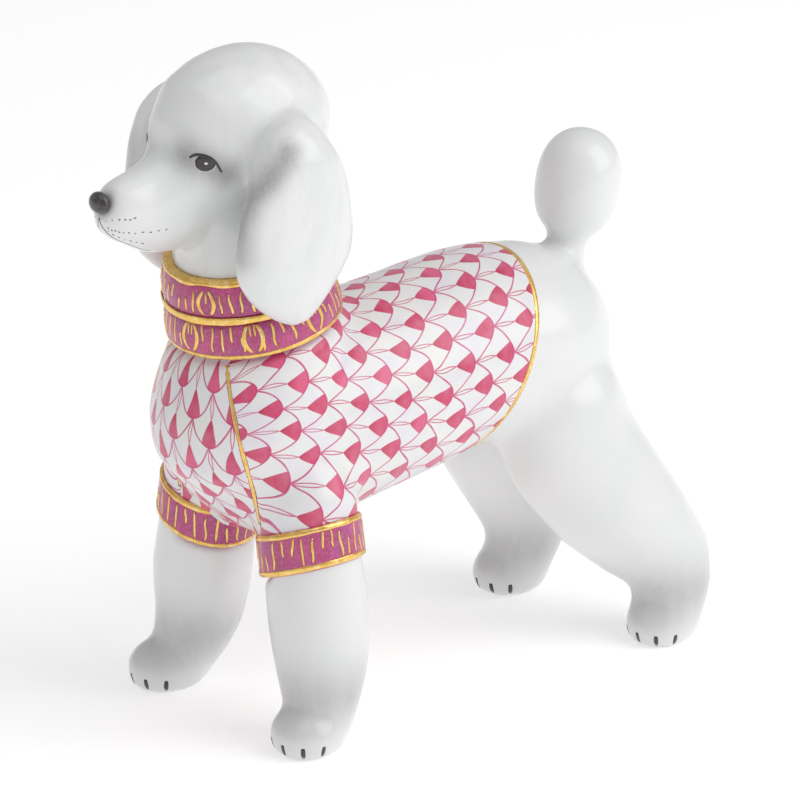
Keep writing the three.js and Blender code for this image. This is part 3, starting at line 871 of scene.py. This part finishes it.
def knit(name, mesh, low, high, axis, step, loops, loop_open):
    """Gilded ribs and loops with a plum edge, on a roll or a cuff."""
    tree = tree_of(mesh)
    ribs, cables = rib_paths(tube_place(tree, low, high, axis), step, loops, loop_open)
    strokes(f"{name}_edges", tree, ribs + cables, OUTLINE, "mauve_trim", 0.035 * MM, wider=0.06 * MM)
    strokes(f"{name}_gold", tree, ribs + cables, GOLD, "gilding", 0.09 * MM)


base_at, collar_axis = plane_of("collar_base_band")
fold_rise = (plane_of("collar_fold_band")[0] - base_at).dot(collar_axis) + FOLD_SHIFT
fold_at = base_at + collar_axis * fold_rise
roll_top = max((v.co - base_at).dot(collar_axis) for v in collar["upper"].vertices)
top_at = base_at + collar_axis * (roll_top - 1.0 * MM)
COLLAR_STEP, CUFF_STEP = 6.8, 11.5  # degrees between ribs
lower_loops = [7.7 + 45 * k - 180 for k in range(8)]
upper_loops = [24 + 60 * k - 180 for k in range(6)]
lower_span = (base_at + collar_axis * 0.3 * MM, fold_at - collar_axis * 0.3 * MM)
upper_span = (fold_at + collar_axis * 0.6 * MM, top_at)
knit("collar_lower_ribs", collar["lower"], *lower_span, collar_axis, COLLAR_STEP, lower_loops, True)
knit("collar_upper_ribs", collar["upper"], *upper_span, collar_axis, COLLAR_STEP, upper_loops, False)
for side in SIDES:
    high_at, cuff_axis = plane_of(f"cuff_upper_band_{side}")
    low_at = plane_of(f"cuff_lower_band_{side}")[0]
    knit(f"cuff_{side}_ribs", cuffs[side], low_at, high_at, cuff_axis, CUFF_STEP, [], True)

SEAM_START, SEAM_DROP, SEAM_POINTS = 60.6, 25.8, 30  # where the gold line starts and how far it falls, in mm
for side, way in SIDES.items():
    path = []
    for i in range(SEAM_POINTS):
        z = (SEAM_START - SEAM_DROP * i / (SEAM_POINTS - 1)) * MM
        turn = math.radians(SEAM_TURN + (SEAM_TOP * MM - z) / MM * SEAM_LEAN)
        out = Vector((way * math.sin(turn), -math.cos(turn), 0))
        hit = body_tree.ray_cast(Vector((MID_X, CHEST_Y, z)) + out * OUTSIDE, -out)[0]
        path.append((hit, (0.34 + 0.05 * math.sin(i * 0.9)) * MM))
    strokes(f"raglan_{side}_edge", body_tree, [path], OUTLINE, "painted_sweater", 0.035 * MM, wider=0.07 * MM)
    strokes(f"raglan_{side}_gold", body_tree, [path], GOLD, "gilding", 0.07 * MM)

# ------------------------------------------------------------------ face

EYE_DARK = enamel("eye_brown", srgb(34, 28, 28), srgb(58, 48, 46), 0.12)
LINE_GREY = enamel("line_grey", srgb(88, 82, 82), srgb(124, 118, 118))
RIM_PALE = enamel("eye_rim", srgb(206, 198, 197), srgb(222, 216, 214))
GLINT = enamel("eye_glint", srgb(232, 230, 230), srgb(244, 243, 243))
EYE_ACROSS = Vector((0.629, 0.777, 0))  # along the left eye, towards its outer corner


def spline(points, count):
    """More points on a smooth line through a few."""
    p = [Vector(q) for q in points]
    p = [p[0] * 2 - p[1], *p, p[-1] * 2 - p[-2]]
    made = []
    for i in range(count):
        t = i / (count - 1) * (len(points) - 1)
        k = min(int(t), len(points) - 2)
        f = t - k
        a, b, c, d = p[k : k + 4]
        twice = b * 2 + (c - a) * f + (a * 2 - b * 5 + c * 4 - d) * f * f
        made.append((twice + (b * 3 - a - c * 3 + d) * f**3) / 2)
    return made


def oval(place, middle_u, half_u, half_v, count):
    """Points round an oval, as place(u, v) puts them."""
    turns = np.linspace(0, 2 * math.pi, count, False)
    return [place(middle_u + half_u * math.cos(t), half_v * math.sin(t)) for t in turns]


# Outwards and up from the eye's middle, in mm.
LID = ((-2.3, 0.75), (-1.5, 1.15), (-0.6, 1.22), (0.65, 0.88), (1.6, 0.05), (2.45, -1.5))
GLINT_OUT = 0.18
LOWER_RIM = ((-1.55, 0.2), (-1.35, -0.7), (-0.2, -1.4), (1.05, -1.1), (1.7, -0.25))
# Half of the mouth from under the nose, and the rows of whisker dots with their counts: on_dog's places.
MOUTH = (
    (0.0, -0.9, -1.9), (0.5, -0.4, -3.5), (1.1, 0.4, -4.8),
    (1.5, 2.6, -6.4), (1.7, 5.9, -8.1), (1.9, 7.7, -8.8),
)
WHISKER_ROWS = (
    (((1.5, -0.4, -2.4), (3.5, 1.5, -2.1), (4.2, 3.3, -2.1)), 6),
    (((1.7, 0.0, -3.7), (3.4, 2.7, -4.5), (4.7, 8.5, -4.8)), 11),
    (((1.5, 0.1, -4.2), (2.4, 2.6, -5.8), (3.0, 5.4, -6.8)), 7),
)

for side, way in SIDES.items():
    eye_at, eye_out, _, _ = head_tree.find_nearest(on_dog(way, *EYE))
    across = Vector((way * EYE_ACROSS.x, EYE_ACROSS.y, 0))
    across = (across - eye_out * across.dot(eye_out)).normalized()
    rise = eye_out.cross(across) * way
    if rise.z < 0:
        rise = -rise

    def on_eye(u, v):
        return eye_at + across * u * MM + rise * v * MM

    iris = oval(on_eye, 0.02, 1.5, 1.22, 28)
    glint_at = on_eye(GLINT_OUT, 0)
    glint = oval(on_eye, GLINT_OUT, 0.26, 0.18, 12)
    lid = spline([on_eye(*q) for q in LID], 22)
    lower_rim = spline([on_eye(*q) for q in LOWER_RIM], 16)
    patch(f"eye_{side}", head_tree, on_eye(0, 0), iris, EYE_DARK, "nose_black", 0.16 * MM)
    patch(f"eye_glint_{side}", head_tree, glint_at, glint, GLINT, "porcelain", 0.03 * MM, lift=0.165 * MM)
    strokes(f"eyelid_{side}", head_tree, [tapered(lid, 0.27 * MM)], EYE_DARK, "nose_black", 0.14 * MM)
    strokes(f"eye_rim_{side}", head_tree, [tapered(lower_rim, 0.15 * MM)], RIM_PALE, "porcelain", 0.08 * MM)

    mouth = spline([on_dog(way, *q) for q in MOUTH], 30)
    strokes(f"mouth_{side}", head_tree, [tapered(mouth, 0.15 * MM)], LINE_GREY, "nose_black", 0.03 * MM)
    dots = []
    for row, count in WHISKER_ROWS:
        for q in spline([on_dog(way, *place) for place in row], count):
            slant = Vector((0, 1, rng.uniform(-0.6, 0.3))).normalized() * rng.uniform(0.12, 0.26) * MM
            q = q + Vector((0, 0, rng.uniform(-0.12, 0.12) * MM))
            dots.append([(q - slant, 0.07 * MM), (q, 0.15 * MM), (q + slant, 0.07 * MM)])
    strokes(f"whisker_dots_{side}", head_tree, dots, LINE_GREY, "nose_black", 0.03 * MM)

# ------------------------------------------------------------------ nails

leg_trees = {f"fore_{side}": tree_of(legs[side]) for side in SIDES}
leg_trees.update({f"hind_{side}": body_tree for side in SIDES})
# Degrees from the front towards the left: where each paw points, and its toes from there.
PAW_TURN = {"fore_left": 26, "fore_right": 2, "hind_left": 22, "hind_right": 3}
TOES = (-48, -16, 16, 48)
NAIL_TOP, NAIL_DROP, NAIL_POINTS = 2.5, 1.75, 6  # height over the floor and length, in mm
soles = {m["name"][5:]: Vector(m["pos_m"]) for m in frame["record"]["mounts"]}
for paw, heading in PAW_TURN.items():
    nails = []
    for toe in TOES:
        turn = math.radians(heading + toe)
        out = Vector((math.sin(turn), -math.cos(turn), 0))
        path = []
        for i in range(NAIL_POINTS):
            z = (NAIL_TOP - NAIL_DROP * i / (NAIL_POINTS - 1)) * MM
            hit = leg_trees[paw].ray_cast(soles[paw] + out * 40 * MM + Vector((0, 0, z)), -out)[0]
            path.append(hit)
        nails.append(tapered(path, 0.42 * MM))
    strokes(f"nails_{paw}", leg_trees[paw], nails, EYE_DARK, "nose_black", 0.08 * MM)

# ------------------------------------------------------------------ stage, light and camera

floor_mesh = bpy.data.meshes.new("floor")
REACH = 6.0
floor_corners = [(-REACH, -REACH, 0), (REACH, -REACH, 0), (REACH, REACH, 0), (-REACH, REACH, 0)]
floor_mesh.from_pydata(floor_corners, [], [(0, 1, 2, 3)])
floor = bpy.data.objects.new("floor", floor_mesh)
bpy.context.scene.collection.objects.link(floor)
floor_paint = bpy.data.materials.new("floor")
floor_paint.use_nodes = True
floor_shader = floor_paint.node_tree.nodes["Principled BSDF"]
floor_shader.inputs["Base Color"].default_value = (0.92, 0.92, 0.92, 1)
floor_shader.inputs["Roughness"].default_value = 1.0
floor_shader.inputs["Specular IOR Level"].default_value = 0.0
floor_shader.inputs["Emission Color"].default_value = (1, 1, 1, 1)
floor_shader.inputs["Emission Strength"].default_value = 0.33
floor_mesh.materials.append(floor_paint)

world = bpy.data.worlds.new("studio")
bpy.context.scene.world = world
world.use_nodes = True
world.node_tree.nodes["Background"].inputs["Color"].default_value = (1, 1, 1, 1)
world.node_tree.nodes["Background"].inputs["Strength"].default_value = 0.47


def softbox(name, azimuth, elevation, distance, size, power):
    """A soft rectangular lamp that faces the figurine."""
    back = towards(azimuth, elevation)
    light = bpy.data.lights.new(name, "AREA")
    light.shape, light.size, light.size_y, light.energy = "RECTANGLE", size[0], size[1], power
    obj = bpy.data.objects.new(name, light)
    obj.location = Vector((0, 0, 0.05)) + back * distance
    obj.rotation_euler = back.to_track_quat("Z", "Y").to_euler()
    bpy.context.scene.collection.objects.link(obj)


softbox("key", 124, 36, 0.9, (0.7, 0.9), 3.8)
softbox("top", 60, 82, 0.9, (0.8, 0.8), 1.2)
softbox("front", 10, 25, 0.9, (0.6, 0.6), 0.15)

AZIMUTH, ELEVATION, DISTANCE = 51.0, 21.0, 0.9
LENS_MM, SENSOR_MM = 267.3, 36
back = towards(AZIMUTH, ELEVATION)
target = Vector((MID_X, 5.04 * MM, 43.3 * MM))
camera = bpy.data.objects.new("camera", bpy.data.cameras.new("camera"))
camera.data.lens = LENS_MM
camera.data.sensor_width = SENSOR_MM
camera.data.clip_end = 50
camera.location = target + back * DISTANCE
camera.rotation_euler = back.to_track_quat("Z", "Y").to_euler()
bpy.context.scene.collection.objects.link(camera)
bpy.context.scene.camera = camera
bpy.context.scene.view_settings.view_transform = "Standard"
